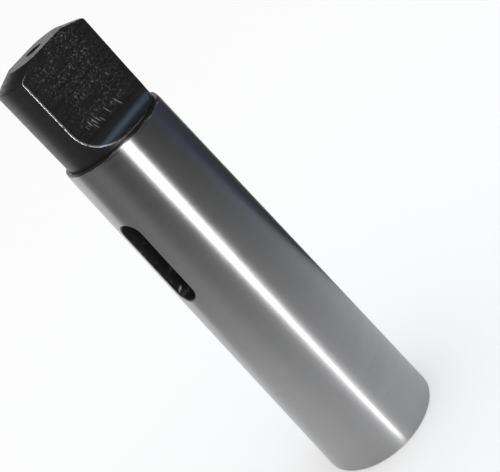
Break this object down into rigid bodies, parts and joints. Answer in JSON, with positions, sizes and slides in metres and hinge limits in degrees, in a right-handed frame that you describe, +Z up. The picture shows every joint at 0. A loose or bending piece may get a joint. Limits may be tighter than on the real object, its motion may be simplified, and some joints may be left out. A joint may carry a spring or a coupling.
{
  "type": "morse taper sleeve",
  "caption": "Reducing sleeve with a taper shank and driving tang outside and a smaller taper socket with a drift slot inside.",
  "frame": {"origin": "centre of the mouth face at the sleeve's big end, on which it stands", "axes": "+Z runs up the axis from the mouth to the tang, +X runs along the drift slot, and the tang's flats face -Y and +Y"},
  "size_m": [0.0316, 0.0316, 0.124],
  "materials": {
    "ground_steel": "satin"
  },
  "bodies": {
    "root": {"sleeve": "ground_steel"}
  },
  "joints": []
}
